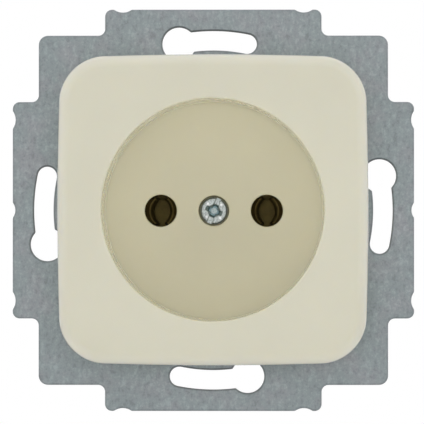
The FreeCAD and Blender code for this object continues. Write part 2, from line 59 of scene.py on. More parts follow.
# Points of a piece that are nearer than this become one, in metres, and edges bent more than this look sharp.
MEETING, SHARP = 1e-6, math.radians(35)
CORNERS = [(1, 1), (1, -1), (-1, -1), (-1, 1)]
QUARTERS = (0, 90, 180, 270)

# Levels along Y, as in the solids.
FACE, FACE_BACK, SKIRT_BACK = -10.0, -7.8, -1.2
FLOOR, FLOOR_BACK, SCREW_SEAT, BOSS_BACK = 7.5, 10.0, 10.7, 12.1
FLAT_FRONT, SEAT_FRONT, SEAT_BACK = -1.0, -2.5, -1.5
WEB_FRONT, WEB_BACK, LIP = 27.0, 27.5, 12.6
COVER_FRONT, COVER_SEAT, COVER_BACK = 27.8, 29.2, 30.2
NUT_FRONT, NUT_BACK = 12.4, 19.4

# Places and sizes across the wall, as in the solids.
CUP_WALL, SKIRT_WALL, WELL_RADIUS, BOSS_WALL = 1.8, 2.0, 2.7, 1.9
POST_RADIUS, POST_PLACE = 1.4, 21.37
RIB_START, RIB_END, RIB_HALF = 20.9, 34.2, 0.6
FRAME_OPENING, RIVET_HOLE = 21.9, 1.5
RIVET = 26.0 / math.sqrt(2)
TERMINALS = [(-10.5, 12.5), (10.5, 12.5), (10.5, -12.5), (-10.5, -12.5)]
CLAMP_THICKNESS, STRIP_THICKNESS, LEAF_HALF = 1.0, 0.5, 2.35

# Marks: a number on each point of a piece that tells its finish where the point is. On the plate:
HIGHLIT_EDGE, RECESS_WALL, RECESS_FLOOR, SHADED_GAP = -1.0, 0.5, 1.0, 2.0
# and on the contacts, painted shade in the mouth of a funnel and a painted highlight on its knee:
FUNNEL_SHADE, KNEE_HIGHLIGHT = -1.0, 1.0

# On the plate these are painted light and shade for light inside the plastic and the recess: the share of
# each colour left on the recess floor as painted shade, how much brighter the wall is painted than the face
# as painted light, and the share of white painted into the outer edge as a painted highlight.
RECESS_SHADE = (0.97, 0.945, 0.865)
WALL_LIGHT = 1.4
EDGE_HIGHLIGHT = 0.22
# Painted shade in the gap round the plate screw: its dark colour, and how much of the plate's colour it
# covers at most.
GAP_SHADE, GAP_SHADE_COVER = (0.25, 0.235, 0.125), 0.85
# Share of the steel's colour that is left on a punched edge of mark 1, partly the darker bare cut and partly
# painted shade, and the tint of its warmer patches.
PUNCHED_SHADE = 0.2
WARM_PATCH = (1.085, 1.01, 1.03)
WHITE = (1.0, 1.0, 1.0)


def linear(*levels):
    """Linear colour of a colour given as 0 to 255 levels."""
    shares = np.array(levels) / 255
    curved = ((shares + 0.055) / 1.055) ** 2.4
    return tuple(float(share) for share in np.where(shares <= 0.04045, shares / 12.92, curved))


def shade(colour, factor):
    return tuple(min(1.0, level * factor) for level in colour)


def unit(vector):
    return vector / np.linalg.norm(vector)


# Lines and loops

def rounded(corners, steps=7, hold=0.05):
    """Line through corners (a, y, radius). Each corner becomes an arc, and a point on the straight run just
    before and after it keeps the flats flat."""
    corners = np.asarray(corners, float)
    spots = corners[:, :2]
    line = [spots[:1]]
    last = len(spots) - 2
    for i in range(1, last + 1):
        here, radius = spots[i], corners[i, 2]
        if radius == 0:
            line.append(here[None])
            continue
        back, ahead = unit(spots[i - 1] - here), unit(spots[i + 1] - here)
        half = math.acos(float(np.clip(back @ ahead, -1, 1))) / 2
        reach = radius / math.tan(half)
        middle = here + unit(back + ahead) * radius / math.sin(half)
        start, end, turn = here + back * reach - middle, here + ahead * reach - middle, math.pi - 2 * half
        share = np.linspace(0, 1, steps + 1)[:, None]
        bend = middle + (start * np.sin(turn * (1 - share)) + end * np.sin(turn * share)) / math.sin(turn)
        before = [] if i == 1 else [(here + back * (reach + hold))[None]]
        after = [] if i == last else [(here + ahead * (reach + hold))[None]]
        line += before + [bend] + after
    line.append(spots[-1:])
    return np.concatenate(line)


def rounded_loop(corners, steps):
    """Closed loop through corners (x, z, radius), each turned into an arc."""
    return rounded(corners[-1:] + corners + corners[:1], steps, hold=0.3)[1:-1]


def circle(radius, count, x=0.0, z=0.0):
    turn = np.arange(count) * 2 * math.pi / count
    return np.stack([x + radius * np.sin(turn), z + radius * np.cos(turn)], 1)


def arc(radius, start, end, count, x=0.0, z=0.0):
    """Points on an arc about (x, z), its angles in degrees from +Z towards +X."""
    turn = np.radians(np.linspace(start, end, count))
    return np.stack([x + radius * np.sin(turn), z + radius * np.cos(turn)], 1)


def turned_by(points, degrees):
    """Points turned about the recess axis, from +Z towards +X."""
    turn = math.radians(degrees)
    x, z = points[..., 0], points[..., 1]
    return np.stack([x * math.cos(turn) + z * math.sin(turn), z * math.cos(turn) - x * math.sin(turn)], -1)


def even(loop, spacing, ease):
    """A closed loop laid out again in even steps, and eased by a bell-shaped average of the given width."""
    closed = np.vstack([loop, loop[:1]])
    run = np.concatenate([[0], np.cumsum(np.linalg.norm(np.diff(closed, axis=0), axis=1))])
    count = int(round(run[-1] / spacing))
    at = np.arange(count) * run[-1] / count
    points = np.stack([np.interp(at, run, closed[:, k]) for k in (0, 1)], 1)
    waves = np.fft.fftfreq(count, run[-1] / count)
    damp = np.exp(-2 * (math.pi * waves * ease) ** 2)
    return np.real(np.fft.ifft(np.fft.fft(points, axis=0) * damp[:, None], axis=0))


def outward(loop):
    """Unit vectors out of a closed loop, square to the chord between each point's two neighbours."""
    chord = np.roll(loop, -1, 0) - np.roll(loop, 1, 0)
    side = np.stack([chord[:, 1], -chord[:, 0]], 1) / np.linalg.norm(chord, axis=1, keepdims=True)
    following = np.roll(loop, -1, 0)
    return side * np.sign(np.sum(loop[:, 0] * following[:, 1] - loop[:, 1] * following[:, 0]))


def plate_outline(half):
    """Square of slightly bowed sides and round corners that are tangent to them, and the directions out of
    it. Each point is a centre of curvature plus its radius along the outward direction."""
    side, corner = sizes().plate_side_radius / MM, sizes().plate_corner_radius / MM
    lead = side - sizes().plate_half / MM
    apart = (sizes().plate_side_radius - sizes().plate_corner_radius) / MM
    inset = sizes().plate_half / MM - half
    centre = (math.sqrt(2 * apart ** 2 - lead ** 2) - lead) / 2
    bow = math.atan2(centre, centre + lead)
    bend = math.pi / 2 - 2 * bow
    count = 20
    share = np.arange(count) / count
    turn = np.concatenate([bow * share, bow + bend * share, math.pi / 2 - bow + bow * share])
    on_corner = np.repeat([False, True, False], count)
    past_corner = turn > math.pi / 4
    x = np.where(on_corner, centre, np.where(past_corner, -lead, 0.0))
    z = np.where(on_corner, centre, np.where(past_corner, 0.0, -lead))
    radius = np.where(on_corner, corner, side) - inset
    out = np.stack([np.sin(turn), np.cos(turn)], 1)
    quarter = np.stack([x, z], 1) + radius[:, None] * out
    return [np.concatenate([turned_by(part, turn) for turn in QUARTERS]) for part in (quarter, out)]


class Skin:
    """Collects the sheets of one piece, in millimetres, and makes one closed mesh of them."""

    def __init__(self):
        self.points, self.faces, self.marks, self.count = [], [], [], 0

    def add(self, points, faces, mark=0.0):
        points = np.asarray(points, float).reshape(-1, 3)
        self.faces.append(np.asarray(faces) + self.count)
        self.points.append(points)
        self.marks.append(np.broadcast_to(np.asarray(mark, float).reshape(-1), (len(points),)))
        self.count += len(points)

    def grid(self, points, closed=True, mark=0.0):
        """Sheet of a grid of points; the last column is joined to the first when closed."""
        rows, columns = points.shape[:2]
        here = np.arange(rows * columns).reshape(rows, columns)
        following = np.roll(here, -1, 1)
        if not closed:
            here, following = here[:, :-1], here[:, 1:]
        faces = np.stack([here[:-1], following[:-1], following[1:], here[1:]], -1).reshape(-1, 4)
        self.add(points, faces, mark)

    def carry(self, loop, profile, out=None, marks=0.0):
        """Sheet of a profile carried round a loop: point (step, y) of the profile is the loop moved out by
        step, at y. There is one mark, one for each point of the profile, or one for each point of the sheet.
        Gives back the sheet's first and last ring."""
        out = outward(loop) if out is None else out
        profile = np.asarray(profile, float)
        rings = loop[None] + profile[:, None, :1] * out[None]
        levels = np.broadcast_to(profile[:, None, 1:2], rings.shape[:2] + (1,))
        marks = np.asarray(marks, float)
        marks = np.broadcast_to(marks if marks.ndim == 2 else marks.reshape(-1, 1), rings.shape[:2])
        self.grid(np.concatenate([rings[..., :1], levels, rings[..., 1:]], -1), mark=marks)
        return rings[0], rings[-1]

    def turn(self, profile, count, x=0.0, z=0.0):
        """Turned piece: profile (distance from the axis, y) carried round the axis through (x, z)."""
        self.carry(np.tile([x, z], (count, 1)), profile, circle(1.0, count))

    def flat(self, loops, y, mark=0.0):
        """Flat face at one level, from an outer loop to the loops of its holes."""
        triangles = tessellate_polygon([[(x, z, 0.0) for x, z in loop.tolist()] for loop in loops])
        points = np.concatenate(loops)
        self.add(np.stack([points[:, 0], np.full(len(points), y), points[:, 1]], 1), triangles, mark)

    def block(self, loop, front, back, edge_front, edge_back, holes=()):
        """Plate of a loop between two levels with rounded edges, and with holes of the given loops."""
        rim = -(max(edge_front, edge_back) + 0.1)
        profile = rounded([(rim, front, 0), (0, front, edge_front), (0, back, edge_back), (rim, back, 0)], 5)
        ends = [self.carry(loop, profile)] + [self.carry(hole, profile * (-1, 1)) for hole in holes]
        self.flat([end[0] for end in ends], front)
        self.flat([end[1] for end in ends], back)

    def make(self, name, material, slot, replaced):
        """Makes the mesh and puts it in the scene as a piece that stands for CAD nodes. Points that meet
        become one, so that seams and poles are closed, and faces are turned outwards."""
        mesh = bpy.data.meshes.new(name)
        faces = [face for sheet in self.faces for face in sheet.tolist()]
        mesh.from_pydata((np.concatenate(self.points) * MM).tolist(), [], faces)
        layer = mesh.attributes.new("mark", "FLOAT", "POINT")
        layer.data.foreach_set("value", np.concatenate(self.marks).astype(np.float32))
        shell = bmesh.new()
        shell.from_mesh(mesh)
        bmesh.ops.remove_doubles(shell, verts=shell.verts, dist=MEETING)
        bmesh.ops.dissolve_degenerate(shell, edges=shell.edges, dist=MEETING / 100)
        bmesh.ops.recalc_face_normals(shell, faces=shell.faces)
        shell.to_mesh(mesh)
        shell.free()
        mesh.polygons.foreach_set("use_smooth", np.ones(len(mesh.polygons), bool))
        mesh.set_sharp_from_angle(angle=SHARP)
        mesh.update()
        mesh.materials.append(material)
        thing = bpy.data.objects.new(name, mesh)
        bpy.context.scene.collection.objects.link(thing)
        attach(thing, "root")
        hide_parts(*replaced)
        return thing


# Finishes

class Finish:
    """Builds one node material. A value is a number, a colour or another node's output."""

    def __init__(self, name):
        self.material = bpy.data.materials.new(name)
        self.material.use_nodes = True
        self.tree = self.material.node_tree
        self.shader = self.tree.nodes["Principled BSDF"]
        self.coordinates = self.tree.nodes.new("ShaderNodeTexCoord").outputs["Object"]

    def give(self, socket, value):
        if isinstance(value, (int, float)):
            socket.default_value = value
        elif isinstance(value, tuple):
            socket.default_value = (*value, 1) if socket.type == "RGBA" else value
        else:
            self.tree.links.new(value, socket)

    def node(self, kind, **values):
        """Adds a node and gives its inputs their values; a name has _ where the input's name has a space."""
        node = self.tree.nodes.new("ShaderNode" + kind)
        for name, value in values.items():
            self.give(node.inputs[name.replace("_", " ")], value)
        return node

    def noise(self, per_metre, detail=2.0, roughness=0.5, stretch=(1, 1, 1)):
        """Cloudy pattern of about per_metre blotches to a metre; a stretch above 1 packs them closer."""
        spot = self.node("Mapping", Vector=self.coordinates, Scale=stretch).outputs["Vector"]
        return self.node("TexNoise", Vector=spot, Scale=per_metre, Detail=detail,
                         Roughness=roughness).outputs["Fac"]

    def crystals(self, per_metre):
        """Cells of random greys."""
        cells = self.node("TexVoronoi", Vector=self.coordinates, Scale=per_metre).outputs["Color"]
        return self.node("RGBToBW", Color=cells).outputs["Val"]

    def mark(self):
        node = self.node("Attribute")
        node.attribute_name = "mark"
        return node.outputs["Fac"]

    def ramp(self, value, stops):
        """Colour ramp; stops are (position, linear colour)."""
        node = self.node("ValToRGB", Fac=value)
        node.color_ramp.interpolation = "EASE"
        while len(node.color_ramp.elements) < len(stops):
            node.color_ramp.elements.new(0.5)
        for element, (position, colour) in zip(node.color_ramp.elements, stops):
            element.position = position
            element.color = (*colour, 1)
        return node.outputs["Color"]

    def spread(self, value, low, high, from_low=0.3, from_high=0.7):
        """Maps a pattern's range onto another range."""
        return self.node("MapRange", Value=value, From_Min=from_low, From_Max=from_high, To_Min=low,
                         To_Max=high).outputs["Result"]

    def maths(self, kind, first, second):
        node = self.node("Math")
        node.operation = kind
        for socket, value in zip(node.inputs, (first, second)):
            self.give(socket, value)
        return node.outputs["Value"]

    def mixed(self, share, first, second, kind="MIX"):
        node = self.node("Mix")
        node.data_type = "RGBA"
        node.blend_type = kind
        for name, sort, value in (("Factor", "VALUE", share), ("A", "RGBA", first), ("B", "RGBA", second)):
            self.give(next(s for s in node.inputs if s.name == name and s.type == sort), value)
        return next(s for s in node.outputs if s.type == "RGBA")

    def bump(self, height, strength, depth):
        bumped = self.node("Bump", Height=height, Strength=strength, Distance=depth)
        self.set(Normal=bumped.outputs["Normal"])

    def set(self, **values):
        for name, value in values.items():
            self.give(self.shader.inputs[name.replace("_", " ")], value)


def cream_plastic():
    """Glossy cream moulding: a faint cloudiness and a very fine grain. Its marks carry painted light and
    shade:
    HIGHLIT_EDGE for a painted highlight on the outer edge, up to RECESS_WALL down the recess, whose wall is
    painted brighter, RECESS_FLOOR on its floor, painted shade, and SHADED_GAP round the screw, the darkest
    painted shade."""
    finish = Finish("cream_plastic")
    colour = tuple(colours().plate)
    cloud = finish.noise(60, detail=3.0)
    plain = finish.ramp(cloud, [(0.3, shade(colour, 0.985)), (0.7, shade(colour, 1.015))])
    # Painted shade: the recess floor darker and yellower than the face.
    floor_shaded = finish.mixed(finish.mark(), plain, finish.mixed(1.0, plain, RECESS_SHADE, "MULTIPLY"))
    # Painted light: the recess wall brighter than the face, more so further down.
    wall = finish.maths("MULTIPLY", finish.spread(finish.mark(), 0.0, 1.0, 0.0, RECESS_WALL),
                        finish.spread(finish.mark(), 0.0, 1.0, RECESS_FLOOR, RECESS_WALL))
    lit = finish.mixed(wall, floor_shaded, shade(colour, WALL_LIGHT))
    # Painted shade: the well round the screw turns towards the dark gap colour.
    cover = finish.spread(finish.mark(), 0.0, GAP_SHADE_COVER, RECESS_FLOOR, SHADED_GAP)
    # Painted highlight: white mixed into the plate's outer rounded edge.
    edge = finish.spread(finish.mark(), 0.0, EDGE_HIGHLIGHT, 0.0, HIGHLIT_EDGE)
    finish.set(Base_Color=finish.mixed(edge, finish.mixed(cover, lit, GAP_SHADE), WHITE),
               Roughness=finish.spread(finish.noise(900), 0.15, 0.21),
               Specular_IOR_Level=0.5, Coat_Weight=0.7, Coat_Roughness=0.06,
               Subsurface_Weight=0.4, Subsurface_Scale=0.0015, Subsurface_Radius=(1.0, 0.75, 0.45))
    finish.bump(finish.noise(2500), 0.02, 0.00002)
    return finish.material


def galvanised_steel():
    """Zinc coat on punched sheet: faint small crystals, short rolling streaks and fine speckle, in patches of
    a warmer tint, and darker on a punched edge (mark above 0), partly as the bare cut and partly as painted
    shade."""
    finish = Finish("galvanised_steel")
    colour = tuple(colours().steel)
    crystals = finish.maths("MULTIPLY", finish.crystals(1300), 0.1)
    streaks = finish.maths("MULTIPLY", finish.noise(800, 4.0, 0.65, stretch=(1.5, 1.0, 0.75)), 0.5)
    speckle = finish.noise(2600, 3.0, 0.7)
    mixture = finish.maths("ADD", streaks, finish.maths("MULTIPLY", speckle, 0.4))
    mixture = finish.maths("ADD", crystals, mixture)
    grained = finish.ramp(mixture, [(0.36, shade(colour, 0.78)), (0.5, colour), (0.64, shade(colour, 1.25))])
    patches = finish.spread(finish.noise(170, 3.0, 0.65), 0.0, 1.0, 0.45, 0.66)
    plain = finish.mixed(patches, grained, WARM_PATCH, "MULTIPLY")
    finish.set(Base_Color=finish.mixed(finish.mark(), plain, shade(colour, PUNCHED_SHADE)),
               Roughness=finish.spread(mixture, 0.48, 0.6), Metallic=0.6)
    finish.bump(speckle, 0.2, 0.00004)
    return finish.material


def zinc_plate():
    """Bright mottled zinc on a screw: painted shade in the drive and on the head's rim (mark up to 1), and
    painted white glints beside the drive's wings (mark -1)."""
    finish = Finish("zinc_plate")
    colour = tuple(colours().zinc)
    mottle = finish.noise(2800, 4.0, 0.7)
    plain = finish.ramp(mottle, [(0.36, shade(colour, 0.72)), (0.62, shade(colour, 1.22))])
    # Painted shade towards the zinc_shadow colour where the mark is above 0, and painted white glints where
    # it is below 0.
    drive_shade = finish.spread(finish.mark(), 0.0, 1.0, 0.1, 0.9)
    painted_glint = finish.spread(finish.mark(), 0.0, 1.0, 0.0, -0.8)
    drive_shaded = finish.mixed(drive_shade, plain, tuple(colours().zinc_shadow))
    finish.set(Base_Color=finish.mixed(painted_glint, drive_shaded, WHITE), Roughness=finish.spread(mottle, 0.26, 0.38),
               Metallic=0.8)
    finish.bump(mottle, 0.15, 0.00003)
    return finish.material


def rolled_bronze():
    """Rolled bronze strip, dulled brown by age, with painted shade in the mouth of the funnel (mark
    FUNNEL_SHADE) and a painted highlight on its knee, where pins slide over it (mark KNEE_HIGHLIGHT)."""
    finish = Finish("rolled_bronze")
    colour = tuple(colours().bronze)
    stain = finish.noise(500, 4.0, 0.6)
    plain = finish.ramp(stain, [(0.3, shade(colour, 0.75)), (0.7, shade(colour, 1.2))])
    # Painted shade towards dark brown in the funnel's mouth and a painted highlight towards white on its
    # knee.
    shade_and_highlight = finish.ramp(finish.spread(finish.mark(), 0.0, 1.0, FUNNEL_SHADE, KNEE_HIGHLIGHT),
                       [(0.0, (0.25, 0.22, 0.17)), (0.5, (0.72, 0.72, 0.69)), (1.0, (1.0, 0.98, 1.0))])
    finish.set(Base_Color=finish.mixed(1.0, plain, shade_and_highlight, "MULTIPLY"),
               Roughness=finish.spread(stain, 0.42, 0.58), Metallic=0.6)
    finish.bump(finish.noise(1800, stretch=(1, 0.2, 1)), 0.2, 0.00003)
    return finish.material


def turned_brass():
    """Turned brass: fine lines round the axis."""
    finish = Finish("turned_brass")
    colour = tuple(colours().brass)
    lines = finish.noise(900, stretch=(0.2, 6.0, 0.2))
    finish.set(Base_Color=finish.ramp(lines, [(0.35, shade(colour, 0.9)), (0.65, shade(colour, 1.08))]),
               Roughness=finish.spread(lines, 0.2, 0.32), Metallic=1.0)
    finish.bump(lines, 0.2, 0.00003)
    return finish.material


def moulded(name, colour):
    """Filled moulding compound: matt, finely grained and slightly cloudy."""
    finish = Finish(name)
    cloud = finish.noise(150, 4.0, 0.6)
    grain = finish.noise(2200, detail=3.0)
    finish.set(Base_Color=finish.ramp(cloud, [(0.3, shade(colour, 0.88)), (0.7, shade(colour, 1.12))]),
               Roughness=finish.spread(grain, 0.42, 0.58))
    finish.bump(grain, 0.25, 0.00004)
    return finish.material


def finished(build, *more):
    """The finish that a function builds, built only once; more is its name and colour, if it takes them."""
    return bpy.data.materials.get(more[0] if more else build.__name__) or build(*more)


# Settings

class SocketSizes(bpy.types.PropertyGroup):
    """Sizes of the insert, in metres."""
    plate_half: FloatProperty(
        name="Plate half width", description="From the recess axis to the middle of a side of the plate",
        default=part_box("centre_plate")[1].x, unit="LENGTH", subtype="DISTANCE")
    plate_side_radius: FloatProperty(
        name="Side bow radius", description="Radius of the slight bow of the plate's sides",
        default=0.6, unit="LENGTH", subtype="DISTANCE")
    plate_corner_radius: FloatProperty(
        name="Corner radius", description="Radius of the plate's corners",
        default=0.00825, unit="LENGTH", subtype="DISTANCE")
    plate_edge: FloatProperty(
        name="Edge rounding", description="Rounding between the plate's face and its skirt",
        default=0.002, unit="LENGTH", subtype="DISTANCE")
    recess_radius: FloatProperty(
        name="Recess radius", description="Radius of the plug recess",
        default=0.0195, unit="LENGTH", subtype="DISTANCE")
    recess_floor_rounding: FloatProperty(
        name="Floor rounding", description="Rounding between the recess wall and its floor",
        default=0.00015, unit="LENGTH", subtype="DISTANCE")
    pin_spacing: FloatProperty(
        name="Pin spacing", description="Distance between the two pin holes",
        default=0.019, unit="LENGTH", subtype="DISTANCE")
    pin_hole_radius: FloatProperty(
        name="Pin hole radius", description="Radius of a pin hole in the recess floor",
        default=0.00285, unit="LENGTH", subtype="DISTANCE")
    keyhole_radius: FloatProperty(
        name="Keyhole circle radius", description="From the recess axis to the keyhole slots",
        default=0.03, unit="LENGTH", subtype="DISTANCE")


class SocketColours(bpy.types.PropertyGroup):
    """Colours of the insert's finishes."""
    plate: FloatVectorProperty(
        name="Plate", description="Cream plastic of the centre plate",
        default=linear(215, 212, 192), subtype="COLOR", size=3, min=0, max=1)
    steel: FloatVectorProperty(
        name="Steel", description="Galvanised sheet of the support frame",
        default=linear(151, 160, 162), subtype="COLOR", size=3, min=0, max=1)
    zinc: FloatVectorProperty(
        name="Zinc", description="Zinc plating of the screws",
        default=linear(190, 197, 194), subtype="COLOR", size=3, min=0, max=1)
    # Painted shade: the colour that a screw's drive and head rim are painted towards.
    zinc_shadow: FloatVectorProperty(
        name="Zinc in the drive", description="Dull plating in a screw's drive",
        default=linear(124, 147, 150), subtype="COLOR", size=3, min=0, max=1)
    bronze: FloatVectorProperty(
        name="Bronze", description="Contact strip",
        default=linear(150, 132, 78), subtype="COLOR", size=3, min=0, max=1)
    brass: FloatVectorProperty(
        name="Brass", description="Threaded insert",
        default=linear(196, 168, 104), subtype="COLOR", size=3, min=0, max=1)
    base: FloatVectorProperty(
        name="Base", description="Insulating base",
        default=linear(64, 61, 58), subtype="COLOR", size=3, min=0, max=1)
    cover: FloatVectorProperty(
        name="Rear cover", description="Insulating cover behind the contacts",
        default=linear(104, 103, 100), subtype="COLOR", size=3, min=0, max=1)


def sizes():
    return bpy.context.scene.socket_sizes


def colours():
    return bpy.context.scene.socket_colours


# Shapes of the pieces

def plate_skin():
    """Centre plate: profiles carried round the recess, the outline, the cup and the three holes, and flats
    between them."""
    skin = Skin()
    recess, foot = sizes().recess_radius / MM, sizes().recess_floor_rounding / MM
    edge = sizes().plate_edge / MM
    floor_start = -6.5
    wall = rounded([(floor_start, FLOOR, 0), (-4, FLOOR, 0), (-2, FLOOR, 0), (0, FLOOR, foot),
                    (0, FLOOR - 2, 0), (0, FLOOR - 5, 0), (0, FACE, 0.35), (0.4, FACE, 0)], 10)
    # Marks for the painted recess light and shade: down the wall they grow from 0 at the face to RECESS_WALL,
    # and across the floor they run from RECESS_FLOOR to a touch of painted gap shade at the wall's foot.
    down = np.interp(wall[:, 1], [FACE, FACE + 0.3, FLOOR - 5, FLOOR - 2, FLOOR - foot],
                     [0, 0.15, 0.35, RECESS_WALL, RECESS_WALL])
    across = np.interp(wall[:, 0], [floor_start, -foot, 0], [RECESS_FLOOR, 1.06, RECESS_WALL])
    marks = np.where(wall[:, 0] < -0.001, across, down)
    floor_ring, rim_ring = skin.carry(circle(recess, 800), wall, marks=marks)
    outline, out = plate_outline(sizes().plate_half / MM)
    skirt = rounded([(-edge - 0.05, FACE, 0), (0, FACE, edge), (0, SKIRT_BACK, 0.25),
                     (-SKIRT_WALL, SKIRT_BACK, 0.25), (-SKIRT_WALL, FACE_BACK, 0.8),
                     (-SKIRT_WALL - 1, FACE_BACK, 0)], 10)
    # Painted highlight on the plate's outer rounding, rising to full on the first few millimetres of the
    # skirt.
    edge_highlight_mark = HIGHLIT_EDGE * np.clip(1 + skirt[:, 0] / edge, 0, 1) * (skirt[:, 1] < FACE + edge + 3)
    face_ring, ceiling_ring = skin.carry(outline, skirt, out, edge_highlight_mark)
    skin.flat([face_ring, rim_ring], FACE)
    cup = rounded([(0.8, FACE_BACK, 0), (0, FACE_BACK, 0.5), (0, FLOOR_BACK, 1.0), (-1.2, FLOOR_BACK, 0)], 8)
    cup_ring, back_ring = skin.carry(circle(recess + CUP_WALL, 256), cup)
    skin.flat([ceiling_ring, cup_ring], FACE_BACK)
    well = rounded([(0.35, FLOOR, 0), (0, FLOOR, 0.25), (0, SCREW_SEAT, 0.2), (-0.9, SCREW_SEAT, 0.1),
                    (-0.9, BOSS_BACK, 0.15), (BOSS_WALL, BOSS_BACK, 0.3), (BOSS_WALL, FLOOR_BACK, 0.4),
                    (BOSS_WALL + 0.5, FLOOR_BACK, 0)], 6)
    # Painted shade down the well round the screw, from RECESS_FLOOR at its mouth to SHADED_GAP further in.
    well_shade = RECESS_FLOOR + np.clip((well[:, 1] - FLOOR - 0.1) / 0.4, 0, 1)
    well_front, boss_ring = skin.carry(circle(WELL_RADIUS, 96), well, marks=well_shade)
    fronts, backs = [floor_ring, well_front], [back_ring, boss_ring]
    hole = rounded([(0.35, FLOOR, 0), (0, FLOOR, 0.25), (0, FLOOR_BACK, 0.12), (0.2, FLOOR_BACK, 0)], 6)
    for side in (-1, 1):
        ring = circle(sizes().pin_hole_radius / MM, 96, side * sizes().pin_spacing / MM / 2)
        front, back = skin.carry(ring, hole, marks=RECESS_FLOOR)
        fronts.append(front)
        backs.append(back)
    skin.flat(fronts, FLOOR, RECESS_FLOOR)
    skin.flat(backs, FLOOR_BACK)
    for x, z in CORNERS:
        post = circle(POST_RADIUS, 32, POST_PLACE * x, POST_PLACE * z)
        skin.block(post, FACE_BACK - 0.3, SEAT_FRONT, 0.1, 0.2)
        run = np.array([x, z]) / math.sqrt(2)
        half = np.array([run[1], -run[0]]) * RIB_HALF
        start, end = run * RIB_START, run * RIB_END
        rib = np.array([start - half, end - half, end + half, start + half])
        skin.block(even(rib, 0.4, 0.05), FACE_BACK - 0.4, FACE_BACK + 3.6, 0.1, 0.15)
    return skin


def keyhole_loop():
    """Slot along an arc about the recess axis, 23 degrees long, with a larger round at its left end."""
    middle, half, head = sizes().keyhole_radius / MM, 1.725, 2.95
    head_turn, end_turn = -11.65, 11.5
    centre = turned_by(np.array([0.0, middle]), head_turn)
    tip = turned_by(np.array([0.0, middle]), end_turn)
    meets = []
    for radius in (middle + half, middle - half):
        along = (middle ** 2 + radius ** 2 - head ** 2) / (2 * middle)
        meets.append((along, math.sqrt(radius ** 2 - along ** 2)))
    (far, far_side), (near, near_side) = meets
    outer = arc(middle + half, head_turn + math.degrees(math.atan2(far_side, far)), end_turn, 60)
    cap = arc(half, end_turn, end_turn + 180, 40, *tip)
    inner = arc(middle - half, end_turn, head_turn + math.degrees(math.atan2(near_side, near)), 60)
    start = math.degrees(math.atan2(near_side, near - middle))
    finish = math.degrees(math.atan2(far_side, far - middle)) + 360
    big = arc(head, head_turn + start, head_turn + finish, 90, *centre)
    return even(np.concatenate([outer, cap[1:-1], inner, big[1:-1]]), spacing=0.15, ease=0.12)


def frame_loop():
    """Cross-shaped outline of the frame: four arms with shallow arc notches in their ends. A notch is its
    place along the end, its radius and its depth."""
    arm, block, reach = 19.15, 30.9, 35.5
    corner, outer_corner = 1.2, 1.65
    quarters = []
    for turn in QUARTERS:
        start = rounded([(-arm, reach - 4, 0), (-arm, reach, corner), (-arm + 3, reach, 0)], 16)[1:-1]
        notches = [(-16, 2.65, 0.5), (16, 2.65, 0.5)]
        if turn in (90, 270):
            notches.insert(1, (0, 2.2, 0.45))
        bites = []
        for x, radius, depth in notches:
            spread = math.degrees(math.acos((radius - depth) / radius))
            bites.append(arc(radius, 180 - spread, 180 + spread, 30, x, reach - depth + radius)[::-1])
        rest = rounded([(arm - 3, reach, 0), (arm, reach, corner), (arm, block, corner),
                        (block, block, outer_corner), (block, arm, corner), (reach - 4, arm, 0)], 16)[1:-1]
        quarters.append(turned_by(np.concatenate([start] + bites + [rest]), turn))
    return np.clip(even(np.concatenate(quarters), spacing=0.2, ease=0.1), -reach, reach)


def punched(into, front, back):
    """Edge of punched sheet: the front is drawn over in a soft roll, a quarter ellipse, and the back is left
    nearly sharp. The sheet lies outside the loop when into is 1, as round a hole, and inside it when -1."""
    wide, deep = 0.26, 0.2
    roll = np.radians(np.linspace(0, 90, 8))
    line = [(0.34, front)]
    line += [(wide - wide * math.sin(a), front + deep - deep * math.cos(a)) for a in roll]
    line += [(0, front + 0.25), (0, back - 0.32), (0.03, back - 0.12), (0.06, back - 0.03), (0.1, back),
             (0.16, back)]
    return np.array(line) * (into, 1)


def frame_skin():
    """Support frame: a flat sheet with a drawn seat, each edge a punched profile carried round its loop. Its
    punched edges are darker, partly as the bare cut and partly as painted shade, and the edge of a slot is
    painted darkest at its top."""
    skin = Skin()
    keyholes = [turned_by(keyhole_loop(), turn) for turn in QUARTERS]
    rim, cut = punched(-1, FLAT_FRONT, 0), punched(1, FLAT_FRONT, 0)
    cut_edge_shade = np.ones(len(cut))
    cut_edge_shade[[0, -1]] = 0
    # Painted shade with the darker bare cut: a little on the outer edge, more on a slot's edge, most at its
    # top.
    outer = skin.carry(frame_loop(), rim, marks=cut_edge_shade * 0.15)
    slots = [skin.carry(loop, cut, marks=cut_edge_shade[:, None] * (0.35 + 0.35 * np.clip(outward(loop)[:, 1], 0, 1)))
             for loop in keyholes]
    outline, out = plate_outline(sizes().plate_half / MM - 2.3)
    rise = rounded([(1.0, FLAT_FRONT, 0), (0, FLAT_FRONT, 0.3), (0, SEAT_FRONT, 0.85),
                    (-0.95, SEAT_FRONT, 0)], 6, 0.03)
    foot_ring, shoulder_ring = skin.carry(outline, rise, out)
    pocket = rounded([(0.1, 0, 0), (-1, 0, 0.8), (-1, SEAT_BACK, 0.4), (-1.5, SEAT_BACK, 0)], 6, 0.03)
    mouth_ring, pocket_ring = skin.carry(outline, pocket, out)
    skin.flat([outer[0], foot_ring] + [slot[0] for slot in slots], FLAT_FRONT)
    skin.flat([outer[1], mouth_ring] + [slot[1] for slot in slots], 0.0)
    seat_cut = punched(1, SEAT_FRONT, SEAT_BACK)
    holes = [skin.carry(circle(FRAME_OPENING, 320), seat_cut)]
    holes += [skin.carry(circle(RIVET_HOLE, 48, RIVET * x, RIVET * z), seat_cut) for x, z in CORNERS]
    skin.flat([shoulder_ring] + [hole[0] for hole in holes], SEAT_FRONT)
    skin.flat([pocket_ring] + [hole[1] for hole in holes], SEAT_BACK)
    return skin


